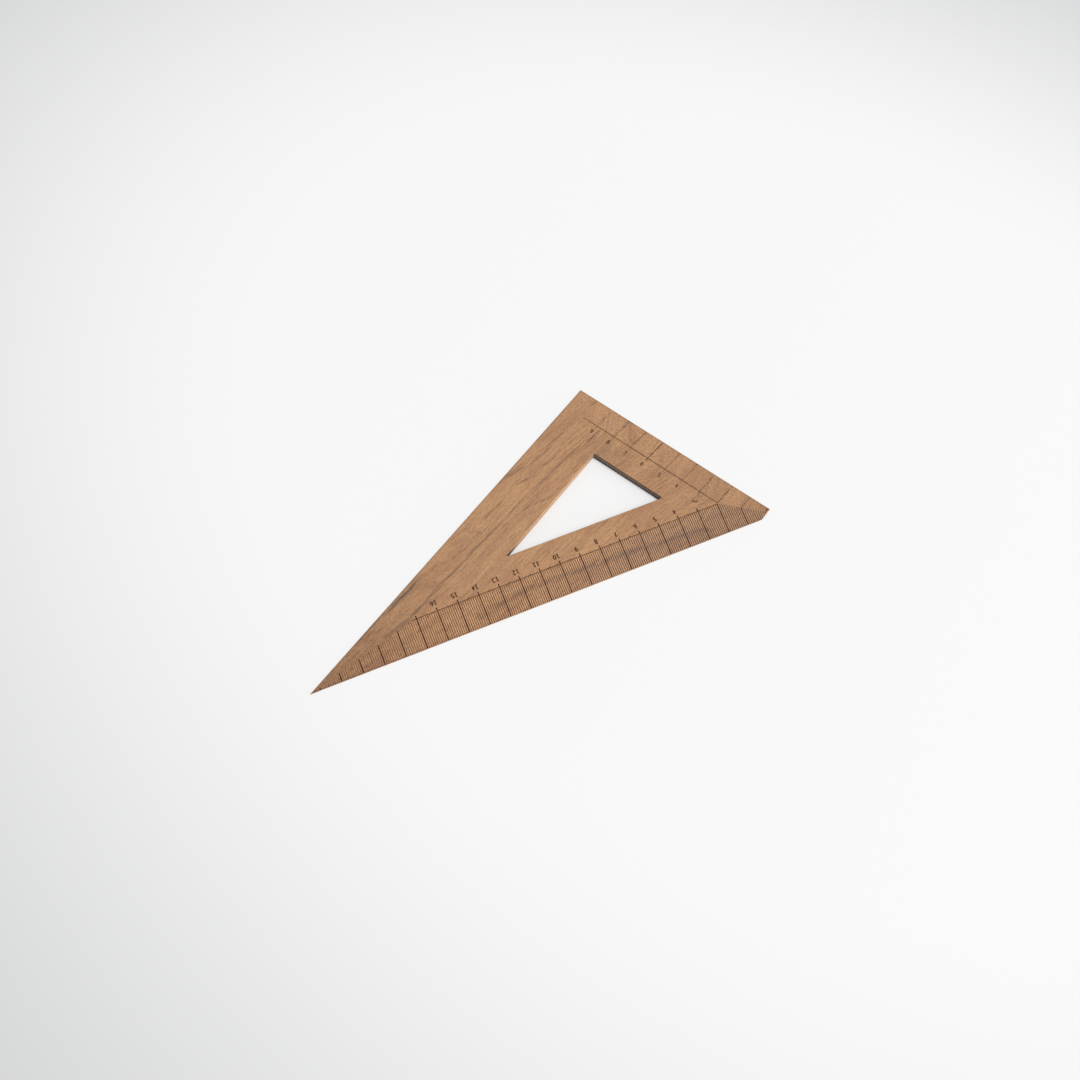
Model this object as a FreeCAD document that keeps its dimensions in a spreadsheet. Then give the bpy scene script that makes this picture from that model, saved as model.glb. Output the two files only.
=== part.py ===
import FreeCAD, Part
import math
import os

import Sketcher

# Wooden set square of 30, 60 and 90 degrees, cut from one flat board.
#
# The origin is the square corner, on the underside, where the two leg edges meet.
# +X runs along the long leg, +Y along the short leg and +Z up through the board.
# All three margins are planed down to a thin ruling edge, so the upper face is a
# smaller triangle. The sharp end of the 60 degree corner is cut off, and a
# triangular window with the same angles lets the drawing show through.

SIZES = [
    # overall form
    ("long_leg", 199.0),
    ("acute_angle", 30.0),
    ("board_thickness", 4.0),
    # planed margins: width on the plan, and the height left standing at the edge
    ("bevel_width", 13.8),
    ("edge_height", 0.4),
    # length of the short leg that is lost at the 60 degree corner
    ("tip_cut", 3.9),
    # window: width of board left beside each side, and its corners
    ("long_limb_width", 27.9),
    ("short_limb_width", 27.5),
    ("slant_limb_width", 27.0),
    ("window_corner_radius", 0.5),
    ("window_easing", 0.25),
]

LENGTH_TOLERANCE = 1e-4
WINDOW_CORNERS = 3

doc = FreeCAD.newDocument("set_square")


def make_sheet():
    """Spreadsheet with one aliased cell for each driving size."""
    sheet = doc.addObject("Spreadsheet::Sheet", "Sizes")
    for row, (alias, value) in enumerate(SIZES, start=1):
        sheet.set(f"A{row}", alias)
        sheet.set(f"B{row}", str(value))
        sheet.setAlias(f"B{row}", alias)
    doc.recompute()
    return sheet


def origin_plane(body, role):
    """The body's own origin plane of that role."""
    for feature in body.Origin.OriginFeatures:
        if feature.Role == role:
            return feature
    raise RuntimeError(f"{body.Label} has no {role}")


def new_sketch(body, name, role):
    """Sketch lying on one of the body's origin planes."""
    sketch = body.newObject("Sketcher::SketchObject", name)
    sketch.AttachmentSupport = [(origin_plane(body, role), "")]
    sketch.MapMode = "FlatFace"
    return sketch


def add_closed_outline(sketch, corners):
    """Straight sides through the corners, each joined to the next one."""
    count = len(corners)
    points = [FreeCAD.Vector(x, y, 0) for x, y in corners]
    for index in range(count):
        side = Part.LineSegment(points[index], points[(index + 1) % count])
        sketch.addGeometry(side, False)
    for index in range(count):
        joint = Sketcher.Constraint("Coincident", index, 2, (index + 1) % count, 1)
        sketch.addConstraint(joint)


def bind(sketch, constraint, name, expression):
    """Adds a dimension and ties it to the sheet."""
    index = sketch.addConstraint(constraint)
    sketch.renameConstraint(index, name)
    sketch.setExpression(f"Constraints.{name}", expression)


def removed_volume(body, make_feature):
    """Makes one cutting feature and returns the volume that it takes off."""
    before = body.Shape.Volume
    make_feature()
    doc.recompute()
    removed = before - body.Shape.Volume
    if removed <= 0:
        raise RuntimeError(f"{body.Tip.Label} cuts nothing")
    return removed


def pad_board(body, sheet):
    """The triangular board at full thickness, with the 60 degree tip cut off.

    The cut runs parallel to the long leg.
    """
    long_leg = sheet.long_leg
    short_leg = long_leg * math.tan(math.radians(sheet.acute_angle))
    cut_x = sheet.tip_cut / math.tan(math.radians(sheet.acute_angle))
    cut_y = short_leg - sheet.tip_cut

    sketch = new_sketch(body, "board_outline", "XY_Plane")
    add_closed_outline(sketch, [(0, 0), (long_leg, 0), (cut_x, cut_y), (0, cut_y)])
    long_side, slant_side, tip_side, short_side = range(4)
    origin_point = (-1, 1)
    sketch.addConstraint(Sketcher.Constraint("Coincident", long_side, 1, *origin_point))
    sketch.addConstraint(Sketcher.Constraint("Horizontal", long_side))
    sketch.addConstraint(Sketcher.Constraint("Horizontal", tip_side))
    sketch.addConstraint(Sketcher.Constraint("Vertical", short_side))
    bind(
        sketch,
        Sketcher.Constraint("DistanceX", long_side, 1, long_side, 2, long_leg),
        "long_leg",
        "Sizes.long_leg",
    )
    bind(
        sketch,
        Sketcher.Constraint("DistanceY", short_side, 2, short_side, 1, cut_y),
        "short_edge",
        "Sizes.long_leg * tan(Sizes.acute_angle) - Sizes.tip_cut",
    )
    bind(
        sketch,
        Sketcher.Constraint("Angle", slant_side, math.radians(180 - sheet.acute_angle)),
        "slant",
        "180 - Sizes.acute_angle",
    )
    pad = body.newObject("PartDesign::Pad", "board")
    pad.Profile = sketch
    pad.setExpression("Length", "Sizes.board_thickness")
    doc.recompute()


def plane_margin(body, sheet, name, corner_x, turn):
    """Planes one margin down from the upper face to the ruling edge.

    The profile stands square to the edge, at the point corner_x of the X axis. Its
    own x runs inwards across the board, and turn is the angle from +X to that way.
    """
    width = sheet.bevel_width
    low = sheet.edge_height
    high = sheet.board_thickness

    sketch = new_sketch(body, f"{name}_profile", "XZ_Plane")
    # a rotation keeps its axis only if it has an angle, so the axis is given with the
    # acute angle here and the expression below sets the real turn
    upright = FreeCAD.Vector(0, 1, 0)
    sketch.AttachmentOffset = FreeCAD.Placement(
        FreeCAD.Vector(0, 0, 0), FreeCAD.Rotation(upright, sheet.acute_angle)
    )
    sketch.setExpression("AttachmentOffset.Base.x", corner_x)
    sketch.setExpression("AttachmentOffset.Rotation.Angle", turn)
    add_closed_outline(sketch, [(0, low), (width, high), (0, high)])
    slope, top_side, edge_side = range(3)
    vertical_axis = -2
    sketch.addConstraint(Sketcher.Constraint("Horizontal", top_side))
    sketch.addConstraint(Sketcher.Constraint("PointOnObject", slope, 1, vertical_axis))
    sketch.addConstraint(Sketcher.Constraint("PointOnObject", edge_side, 1, vertical_axis))
    bind(
        sketch,
        Sketcher.Constraint("DistanceX", top_side, 2, top_side, 1, width),
        "width",
        "Sizes.bevel_width",
    )
    bind(
        sketch,
        Sketcher.Constraint("DistanceY", -1, 1, slope, 1, low),
        "edge_height",
        "Sizes.edge_height",
    )
    bind(
        sketch,
        Sketcher.Constraint("DistanceY", -1, 1, slope, 2, high),
        "thickness",
        "Sizes.board_thickness",
    )
    doc.recompute()

    def cut():
        pocket = body.newObject("PartDesign::Pocket", name)
        pocket.Profile = sketch
        pocket.Type = "ThroughAll"
        pocket.Midplane = True

    return removed_volume(body, cut)


def cut_window(body, sheet):
    """The triangular window, with each side parallel to the edge beside it."""
    slope = math.tan(math.radians(sheet.acute_angle))
    slant_inset = sheet.slant_limb_width / math.cos(math.radians(sheet.acute_angle))
    left = sheet.short_limb_width
    near = sheet.long_limb_width
    short_leg = sheet.long_leg * slope
    far = short_leg - slant_inset - left * slope
    right = (short_leg - slant_inset - near) / slope

    sketch = new_sketch(body, "window_outline", "XY_Plane")
    sketch.setExpression("AttachmentOffset.Base.z", "Sizes.board_thickness")
    add_closed_outline(sketch, [(left, near), (right, near), (left, far)])
    near_side, slant_side, left_side = range(3)
    board_slant = sketch.addGeometry(
        Part.LineSegment(
            FreeCAD.Vector(sheet.long_leg, 0, 0), FreeCAD.Vector(0, short_leg, 0)
        ),
        True,
    )
    horizontal_axis, vertical_axis = -1, -2
    sketch.addConstraint(Sketcher.Constraint("Horizontal", near_side))
    sketch.addConstraint(Sketcher.Constraint("Vertical", left_side))
    sketch.addConstraint(
        Sketcher.Constraint("PointOnObject", board_slant, 1, horizontal_axis)
    )
    sketch.addConstraint(
        Sketcher.Constraint("PointOnObject", board_slant, 2, vertical_axis)
    )
    sketch.addConstraint(Sketcher.Constraint("Parallel", slant_side, board_slant))
    bind(
        sketch,
        Sketcher.Constraint("DistanceX", -1, 1, board_slant, 1, sheet.long_leg),
        "long_leg",
        "Sizes.long_leg",
    )
    bind(
        sketch,
        Sketcher.Constraint(
            "Angle", board_slant, math.radians(180 - sheet.acute_angle)
        ),
        "slant",
        "180 - Sizes.acute_angle",
    )
    bind(
        sketch,
        Sketcher.Constraint("DistanceY", -1, 1, near_side, 1, near),
        "long_limb",
        "Sizes.long_limb_width",
    )
    bind(
        sketch,
        Sketcher.Constraint("DistanceX", -1, 1, near_side, 1, left),
        "short_limb",
        "Sizes.short_limb_width",
    )
    bind(
        sketch,
        Sketcher.Constraint(
            "Distance", slant_side, 1, board_slant, sheet.slant_limb_width
        ),
        "slant_limb",
        "Sizes.slant_limb_width",
    )
    doc.recompute()

    def cut():
        pocket = body.newObject("PartDesign::Pocket", "window")
        pocket.Profile = sketch
        pocket.Type = "ThroughAll"

    return removed_volume(body, cut)


def in_window(edge, sheet):
    """Whether an edge lies on the wall of the window."""
    centre = edge.BoundBox.Center
    slant = math.radians(sheet.acute_angle)
    to_slant = (sheet.long_leg - centre.x) * math.sin(slant) - centre.y * math.cos(slant)
    return (
        centre.x > sheet.short_limb_width - LENGTH_TOLERANCE
        and centre.y > sheet.long_limb_width - LENGTH_TOLERANCE
        and to_slant > sheet.slant_limb_width - LENGTH_TOLERANCE
    )


def round_window_corners(body, sheet):
    """Rounds the three upright corners of the window."""
    uprights = []
    for index, edge in enumerate(body.Shape.Edges, start=1):
        box = edge.BoundBox
        stands = abs(box.ZLength - sheet.board_thickness) < LENGTH_TOLERANCE
        if stands and in_window(edge, sheet):
            uprights.append(f"Edge{index}")
    if len(uprights) != WINDOW_CORNERS:
        raise RuntimeError(f"window has {len(uprights)} upright corners")
    base = body.Tip
    before = body.Shape.Volume
    fillet = body.newObject("PartDesign::Fillet", "window_corners")
    fillet.Base = (base, uprights)
    fillet.setExpression("Radius", "Sizes.window_corner_radius")
    doc.recompute()
    # a fillet inside a corner adds material, so the volume has to grow
    if body.Shape.Volume <= before:
        raise RuntimeError("window corners aren't rounded")


def ease_window_rims(body, sheet):
    """Takes the sharp arris off the window, above and below."""
    rims = []
    for index, edge in enumerate(body.Shape.Edges, start=1):
        if edge.BoundBox.ZLength < LENGTH_TOLERANCE and in_window(edge, sheet):
            rims.append(f"Edge{index}")
    base = body.Tip

    def cut():
        easing = body.newObject("PartDesign::Chamfer", "window_easing")
        easing.Base = (base, rims)
        easing.setExpression("Size", "Sizes.window_easing")

    return removed_volume(body, cut)


def make_board(sheet):
    """The whole set square, which is a single board."""
    body = doc.addObject("PartDesign::Body", "set_square_board")
    body.Label = "set_square_board"
    pad_board(body, sheet)
    cut_window(body, sheet)
    round_window_corners(body, sheet)
    ease_window_rims(body, sheet)
    plane_margin(body, sheet, "long_leg_bevel", "0", "90")
    plane_margin(body, sheet, "short_leg_bevel", "0", "0")
    plane_margin(
        body, sheet, "slant_bevel", "Sizes.long_leg", "-90 - Sizes.acute_angle"
    )
    return body


def check_document():
    """Stops on any feature that failed, even if nothing was raised."""
    for item in doc.Objects:
        if "Invalid" in item.State or "Error" in item.State:
            raise RuntimeError(f"{item.Label} is {item.State}")


def export(bodies):
    """Writes each piece to its own file, named after it."""
    os.makedirs("parts", exist_ok=True)
    for body in bodies:
        shape = body.Shape
        if shape.isNull() or not shape.isValid():
            raise RuntimeError(f"{body.Label} has no valid shape")
        shape.exportStep(f"parts/{body.Label}.step")
        print(body.Label, "volume", round(shape.Volume, 1), "faces", len(shape.Faces))


sheet = make_sheet()
bodies = [make_board(sheet)]
doc.recompute()
check_document()
export(bodies)
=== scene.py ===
import math

import bmesh
import bpy
import numpy as np
from mathutils import Matrix, Vector


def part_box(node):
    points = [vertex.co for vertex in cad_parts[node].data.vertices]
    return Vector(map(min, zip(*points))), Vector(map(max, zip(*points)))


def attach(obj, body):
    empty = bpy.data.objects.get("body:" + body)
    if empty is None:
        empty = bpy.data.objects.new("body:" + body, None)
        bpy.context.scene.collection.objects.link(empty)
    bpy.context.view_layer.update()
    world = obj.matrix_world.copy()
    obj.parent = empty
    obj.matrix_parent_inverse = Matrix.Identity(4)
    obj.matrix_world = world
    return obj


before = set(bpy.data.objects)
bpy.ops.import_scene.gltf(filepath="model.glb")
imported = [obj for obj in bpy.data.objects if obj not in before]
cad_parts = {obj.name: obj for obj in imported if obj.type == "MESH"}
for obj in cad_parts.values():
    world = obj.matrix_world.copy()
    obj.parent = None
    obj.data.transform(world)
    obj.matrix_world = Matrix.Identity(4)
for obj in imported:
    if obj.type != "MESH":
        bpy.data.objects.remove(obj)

bl_info = {
    "name": "Wooden set square",
    "version": (1, 0, 0),
    "blender": (4, 5, 0),
    "location": "View3D > Sidebar > Set square",
    "description": "Finishes and marks a wooden 30/60/90 set square",
    "category": "Object",
}

MM = 0.001
BOARD = "set_square_board"
BODY = "root"

# Plan of the board, read from the fixed model. The square corner is the origin, the long
# leg lies on +X and the short leg on +Y. The 60 degree corner's tip is cut off.
CAD_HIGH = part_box(BOARD)[1]
LONG_LEG = CAD_HIGH.x
THICKNESS = CAD_HIGH.z
ACUTE = math.radians(30)
SHORT_LEG = LONG_LEG * math.tan(ACUTE)
SLANT = LONG_LEG / math.cos(ACUTE)
TIP_Y = CAD_HIGH.y
TIP_HALF_ANGLE = (math.pi / 2 - ACUTE) / 2

# Planed margins, and the limbs beside the window from their edges in, as built
BEVEL_WIDTH = 13.8 * MM
EDGE_HEIGHT = 0.4 * MM
LONG_LIMB = 27.9 * MM
SLANT_LIMB = 27.0 * MM
SHORT_LIMB = 27.5 * MM

# Sharp corner of the window, where the wall of the long limb meets that of the slanted one
WINDOW_POINT = (
    LONG_LEG - (SLANT_LIMB + LONG_LIMB * math.cos(ACUTE)) / math.sin(ACUTE),
    LONG_LIMB,
)

# How far a burnt mark reaches down into the board and stands above it, and how much
# higher each stroke stands than the one it crosses
MARK_SINK = 0.05 * MM
MARK_RISE = 0.012 * MM
STROKE_STEP = 0.002 * MM

# Name of the mesh attribute that holds how deep a mark is burnt, from 0 to 1
STRENGTH = "burn_strength"

# Kinds of burnt marks: how much of the wood's own colour the burn covers, and how much of
# that it loses in patches
BURNS = {
    "burnt_deep": (0.97, 0.12),
    "burnt_fine": (0.98, 0.15),
    "burnt_patchy": (0.85, 0.55),
    "burnt_faint": (0.22, 0.8),
}

# How deep the short scale's centimetre lines are burnt, at the edge and at the ridge
SHORT_SCALE_BURNS = {
    1: (0.7, 0.6),
    2: (0.75, 0.8),
    3: (0.55, 0.7),
    4: (0.7, 0.4),
    5: (0.85, 0.55),
    6: (0.95, 0.95),
    7: (0.75, 0.65),
    8: (0.65, 0.45),
    9: (0.3, 0.4),
    10: (0.75, 0.1),
}

# How deep the ridge lines and the numerals are burnt
RIDGE_BURN = 0.9
SLANT_NUMERAL_BURN = 0.93
SHORT_NUMERAL_BURN = 0.8
SHARED_NUMERAL_BURN = 0.85

# Lines of the slanted scale: how uneven they are at first, how much more so towards the
# 30 degree corner, and how much fainter they get on the way there, with the millimetre
# lines between which each change takes place
UNEVEN_AT_FIRST = 0.08
UNEVEN_LATER = 0.35
UNEVEN_BETWEEN = (165, 195)
FADED_LATER = 0.18
FADED_BETWEEN = (140, 180)

# Lines: how near a scale line comes to the edge, the shortest one that is burnt at all,
# and its width at the five stations of build_lines
EDGE_GAP = 0.12 * MM
SHORTEST_LINE = 0.25 * MM
LINE_TAPER = np.array([0.7, 1.1, 1.0, 0.85, 0.6])

# Stations of a ridge line past its far mitre, as shares of its overrun
OVERRUN_STATIONS = np.array([0.0, 0.3, 1.0])

# Distance of the shared numeral's middle from the sharp 60 degree corner
SHARED_NUMERAL_PLACE = 39.0 * MM

# Stage: half the floor's width, how far it lies under the board, and how matt it is
FLOOR_HALF = 3.0
FLOOR_GAP = 0.02 * MM
FLOOR_ROUGHNESS = 0.9
BLACK = (0.0, 0.0, 0.0)
WHITE = (1.0, 1.0, 1.0)

# A painted pool of light on the floor, darker away from the board: its middle, how wide and
# deep it is for its radius, and the radii where it begins and ends to fall off
POOL_MIDDLE = (-0.024, 0.085, 0.0)
POOL_SHAPE = (1.0, 1.4, 1.0)
POOL_RIM = (0.183, 0.50)

# The strip of floor beside the window's short wall that keeps its full shadow
STRIP_HALF_WIDTH = 0.9 * MM
STRIP_END = 75 * MM

# Lamps: place, width and height, and the point that they face
SOFT_BOX_PLACE = (-0.34, 2.1, 2.6)
SOFT_BOX_SIZE = (1.8, 1.35)
SIDE_PANEL_PLACE = (-0.18, 1.9, 0.32)
SIDE_PANEL_SIZE = (1.3, 0.44)
LAMP_AIM = (0.08, 0.04, 0.0)


def srgb(red, green, blue):
    """Linear colour of a display colour given in steps of 0 to 255."""
    shares = np.array([red, green, blue]) / 255
    low = shares / 12.92
    high = ((shares + 0.055) / 1.055) ** 2.4
    return tuple(float(x) for x in np.where(shares <= 0.04045, low, high))


def colour_setting(name, description, red, green, blue):
    """A colour that a user may change, its default in display steps of 0 to 255."""
    return bpy.props.FloatVectorProperty(
        name=name,
        description=description,
        subtype="COLOR",
        default=srgb(red, green, blue),
    )


def length_setting(name, description, millimetres):
    """A length that a user may change, its default in mm."""
    return bpy.props.FloatProperty(
        name=name,
        description=description,
        subtype="DISTANCE",
        unit="LENGTH",
        default=millimetres * MM,
    )


# Properties that a user would change


class BoardFinish(bpy.types.PropertyGroup):
    """Colours and grain of the oiled wood."""

    pale: colour_setting("Pale wood", "Colour of the palest growth layers", 203, 157, 116)
    body: colour_setting("Wood", "Colour of most of the board", 191, 146, 109)
    sapwood: colour_setting(
        "Sapwood", "Colour of the wood beside the long leg's edge", 203, 155, 114
    )
    planed: colour_setting(
        "Planed wood", "Paler wood that the planed margins lay bare", 222, 172, 128
    )
    ruddy: colour_setting("Ruddy wood", "Colour of the redder patches", 178, 130, 99)
    dark: colour_setting("Dark streaks", "Colour of the dark growth lines", 108, 76, 58)
    line: colour_setting("Growth lines", "Colour of the greyer growth lines", 100, 82, 72)
    greyed: colour_setting(
        "Greyed wood",
        "Colour that the slanted margin takes on towards the 60 degree corner",
        148, 130, 120,
    )
    sawn: colour_setting(
        "Sawn wood", "Colour of the window's walls that run along the fibres", 222, 190, 160
    )
    end_grain: colour_setting(
        "End grain", "Colour of faces that cut across the fibres", 112, 95, 84
    )
    # Near-black that darkens the short wall's top rim and paints a shadow along its foot
    grime: colour_setting(
        "Grime", "Colour of the darker top rim of the window's short wall and of the painted shadow at its foot", 20, 18, 17
    )
    grain_angle: bpy.props.FloatProperty(
        name="Grain angle",
        description="Way the fibres run, measured from the slanted side",
        subtype="ANGLE",
        unit="ROTATION",
        default=math.radians(25),
    )
    roughness: bpy.props.FloatProperty(
        name="Roughness",
        description="How matt the oiled surface is",
        subtype="FACTOR",
        min=0,
        max=1,
        default=0.55,
    )


class ScaleMarks(bpy.types.PropertyGroup):
    """Places and widths of the burnt scale marks."""

    slant_zero: length_setting(
        "Zero on the slanted side", "From the sharp 60 degree corner to the scale's zero", 5.0
    )
    short_zero: length_setting(
        "Zero on the short leg", "From the sharp 60 degree corner to the scale's zero", 4.8
    )
    centimetre_width: length_setting("Centimetre line", "Width of a centimetre line", 0.62)
    millimetre_width: length_setting("Millimetre line", "Width of a millimetre line", 0.325)
    ridge_width: length_setting(
        "Ridge line", "Width of the line along the top of a planed margin", 0.38
    )
    centimetre_reach: length_setting(
        "Centimetre reach", "How far a centimetre line runs on past the ridge", 1.8
    )
    half_reach: length_setting(
        "Half centimetre reach", "How far a half centimetre line runs on past the ridge", 0.9
    )
    numeral_height: length_setting("Numeral height", "Height of the numerals", 2.6)
    numeral_gap: length_setting("Numeral gap", "From the ridge to the top of the numerals", 2.9)
    numeral_shift: length_setting(
        "Numeral shift",
        "How far the numerals stand off their lines, away from the sharp corner",
        0.4,
    )
    ridge_overrun: length_setting(
        "Ridge overrun", "How far a ridge line runs on past its far mitre", 2.2
    )
    burn: colour_setting("Burn", "Colour of the burnt marks", 54, 22, 9)


class StudioSetup(bpy.types.PropertyGroup):
    """Camera, floor and soft light."""

    eye: bpy.props.FloatVectorProperty(
        name="Camera",
        description="Place of the camera",
        subtype="TRANSLATION",
        unit="LENGTH",
        default=(0.25813, 0.17352, 0.46370),
    )
    aim: bpy.props.FloatVectorProperty(
        name="Aim",
        description="Point on the floor at the middle of the picture",
        subtype="TRANSLATION",
        unit="LENGTH",
        default=(0.07840, 0.03427, 0.0),
    )
    roll: bpy.props.FloatProperty(
        name="Roll",
        description="Turn of the camera about its own line of sight",
        subtype="ANGLE",
        unit="ROTATION",
        default=math.radians(-0.468),
    )
    lens: bpy.props.FloatProperty(
        name="Lens",
        description="Focal length on a 36 mm wide sensor",
        subtype="DISTANCE_CAMERA",
        unit="CAMERA",
        default=36.886,
    )
    floor: colour_setting("Floor", "Colour of the floor", 246, 246, 246)
    # Painted falloff of light: the floor's colour away from the board
    floor_far: colour_setting(
        "Floor far off", "Colour of the floor away from the board", 205, 206, 207
    )
    floor_glow: bpy.props.FloatProperty(
        name="Floor glow",
        description="Share of the floor's brightness that takes no shadow",
        subtype="FACTOR",
        min=0,
        max=1,
        default=0.58,
    )
    dome: bpy.props.FloatProperty(
        name="Dome",
        description="Strength of the even light from all round",
        default=0.76,
    )
    softbox: bpy.props.FloatProperty(
        name="Soft box",
        description="Power of the large soft lamp",
        subtype="POWER",
        unit="POWER",
        default=37.0,
    )
    side_panel: bpy.props.FloatProperty(
        name="Side panel",
        description="Power of the low lamp at the side",
        subtype="POWER",
        unit="POWER",
        default=9.5,
    )


# Shader building


def fill_inputs(tree, node, inputs):
    """Links a socket to each input that is named, or sets the input's own value."""
    for key, value in inputs.items():
        socket = node.inputs[key]
        if isinstance(value, bpy.types.NodeSocket):
            tree.links.new(value, socket)
        else:
            socket.default_value = value


def add_node(tree, kind, label="", inputs=None, **settings):
    """Adds a shader node, labels it, sets its plain properties and fills its inputs."""
    node = tree.nodes.new(kind)
    node.label = label
    for key, value in settings.items():
        setattr(node, key, value)
    fill_inputs(tree, node, inputs or {})
    return node


def maths(tree, operation, first, second=0.0, label=""):
    """One step of arithmetic on values."""
    inputs = {0: first, 1: second}
    return add_node(tree, "ShaderNodeMath", label, inputs, operation=operation).outputs[0]


def combined(tree, operation, values):
    """Several values worked into one, step by step, such as their sum or product."""
    total = values[0]
    for value in values[1:]:
        total = maths(tree, operation, total, value)
    return total


def vector_value(tree, operation, first, second, label=""):
    """A value worked out from two vectors, such as their dot product or distance."""
    inputs = {0: first, 1: second}
    node = add_node(tree, "ShaderNodeVectorMath", label, inputs, operation=operation)
    return node.outputs["Value"]


def separate(tree, vector):
    """The three parts of a vector."""
    return add_node(tree, "ShaderNodeSeparateXYZ", "", {0: vector}).outputs


def mix_colours(tree, share, first, second, label=""):
    """Blends two colours by a share of 0 to 1."""
    inputs = {"Factor": share, "A": first, "B": second}
    return add_node(tree, "ShaderNodeMix", label, inputs, data_type="RGBA").outputs["Result"]


def smooth_step(tree, value, low, high, label=""):
    """0 below low and 1 above high, with an eased rise between them."""
    inputs = {"Value": value, "From Min": low, "From Max": high}
    node = add_node(
        tree, "ShaderNodeMapRange", label, inputs, interpolation_type="SMOOTHSTEP"
    )
    return node.outputs["Result"]


def mask(tree, value, name):
    """The mask of that name: 0 where it hasn't begun and 1 where it is full."""
    begins, full, _ = MASKS[name]
    return smooth_step(tree, value, begins, full, name)


def share_of(tree, value, name):
    """The mask of that name, times the share that it has where it is full."""
    most = MASKS[name][2]
    return maths(tree, "MULTIPLY", mask(tree, value, name), most)


def stretched_noise(tree, place, lengths, detail, label):
    """Noise whose lumps are as long, wide and deep as the three lengths, in mm."""
    parts = {i: maths(tree, "DIVIDE", place[i], lengths[i]) for i in range(3)}
    vector = add_node(tree, "ShaderNodeCombineXYZ", label, parts).outputs[0]
    inputs = {"Vector": vector, "Scale": 1.0, "Detail": detail}
    return add_node(tree, "ShaderNodeTexNoise", label, inputs).outputs["Fac"]


def rgba(colour):
    """A colour with full cover."""
    return (*colour, 1.0)


def new_group(name, inputs, outputs):
    """An empty shader node group with named sockets: (name, socket kind, default)."""
    group = bpy.data.node_groups.new(name, "ShaderNodeTree")
    for socket_name, kind, default in inputs:
        socket = group.interface.new_socket(socket_name, in_out="INPUT", socket_type=kind)
        socket.default_value = default
    for socket_name, kind in outputs:
        group.interface.new_socket(socket_name, in_out="OUTPUT", socket_type=kind)
    return group


def group_node(tree, name, inputs=None):
    """A node group, placed in a tree."""
    node_tree = bpy.data.node_groups[name]
    return add_node(tree, "ShaderNodeGroup", name, inputs, node_tree=node_tree).outputs


# Growth lines and soft shades that the board shows one by one. Each is a list of points:
# mm along the fibres and mm across the layers, then its width in mm, how dark it is and
# the lowest and highest surface that it reaches.
WHOLE = (-1.0, 5.0)
SLOPE = (0.6, 3.8)
WAVE = [
    (72.5, -34), (78, -35.3), (89, -37.1), (99, -39.7), (117, -48), (135, -57.3),
    (144, -61.6), (155, -68.3), (170, -76.2), (176.5, -80.3), (182.5, -88.2),
]
GROWTH_LINES = {
    "long line": (
        [(37, -8.0), (49, -8.5), (59, -8.4), (70, -7.4), (83, -6.8), (95, -6.3), (108, -5.8),
         (121, -5.1), (137, -4.7), (150, -4.8), (165, -4.8), (174, -5.7)],
        1.6, 0.52, WHOLE,
    ),
    "line by the nine": ([(175, -6.8), (181, -6.4), (187, -6.5)], 1.3, 0.75, WHOLE),
    "outer line": (
        [(28, -5.2), (35, -4.2), (46, -3.8), (57, -3.2), (64, -2.9), (77, -2.3), (84, -2.5)],
        1.5, 0.5, WHOLE,
    ),
    "blotch past the nine": ([(187, -5.4), (191.5, -5.8), (196, -8.5)], 2.8, 0.45, WHOLE),
    "upper line": (
        [(135, 4.6), (145, 3.3), (155, 2.8), (163, 3.4), (172, 3.8), (177, 3.9)],
        1.4, 0.45, WHOLE,
    ),
    "line to the ridge": ([(173, 1.6), (179, 1.0), (187, -0.4)], 1.0, 0.45, WHOLE),
    "short dash": ([(111, -0.9), (118, -0.6), (127, -0.5)], 1.2, 0.45, WHOLE),
    "red line": ([(134, 0.9), (140, 0.2), (147, -0.8)], 1.2, 0.35, WHOLE),
    "curl": ([(149, 0.4), (155, -0.1), (163, -1.3)], 1.2, 0.4, WHOLE),
    "window line": ([(125, -8.3), (131, -9.2), (137, -11.6), (145, -14.3)], 1.4, 0.45, WHOLE),
    "window dash": ([(105, -9.9), (111, -10.1), (118, -10.4)], 1.2, 0.4, WHOLE),
    "middle dash": ([(92, -5.2), (98, -5.4), (104, -5.2)], 1.2, 0.4, WHOLE),
    "dash by the sixteen": ([(62, -9.8), (68, -10.2), (78, -10.9)], 1.2, 0.4, WHOLE),
    "upper dash": ([(167, -0.7), (172, -0.6), (177, -0.6)], 1.0, 0.5, WHOLE),
    "wide dash": ([(93, -2.2), (101, -3.2), (114, -2.7)], 1.4, 0.32, WHOLE),
    "low dash": ([(83, -8.5), (93, -9.5), (103, -11.0)], 1.2, 0.35, WHOLE),
    "short limb line": ([(172, -25.0), (177, -25.9), (182, -27.1), (187, -28.9)], 1.2, 0.32, WHOLE),
    "short limb foot": ([(173, -45.6), (179, -48.3), (186, -49.8), (192, -52.4)], 1.3, 0.45, WHOLE),
    "wave": (WAVE, 8.5, 0.40, SLOPE),
    "core of the wave": (WAVE[4:], 3.6, 0.14, SLOPE),
    "under the wave": (
        [(140, -65.5), (155, -73.5), (170, -81.4), (176.5, -85.5), (182.5, -93)],
        12.0, 0.18, SLOPE,
    ),
    "shade by the long edge": ([(48, -1.8), (60, -1.8), (72, -1.8)], 9.0, 0.26, WHOLE),
    "shade further along": ([(92, -2.0), (100, -2.0), (108, -2.0)], 9.0, 0.15, WHOLE),
    "shade past the ten": ([(186, 2.0), (193, 1.8), (200, 1.5)], 8.0, 0.15, SLOPE),
    "shade by the tip": ([(189, -72.9), (199, -72.9), (209, -72.9)], 16.0, 0.20, SLOPE),
    "by the square corner": ([(165, -14), (176, -17), (186, -20)], 22.0, 0.24, WHOLE),
}

# How many mm a growth line takes to fade in and out, the least spread in mm that its curve
# is scaled to, and the most that the wood is darkened, by all the lines together and by
# everything else
LINE_FADE = 4.0
LEAST_SPREAD = 0.1
MOST_DARKENING = 0.9

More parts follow.
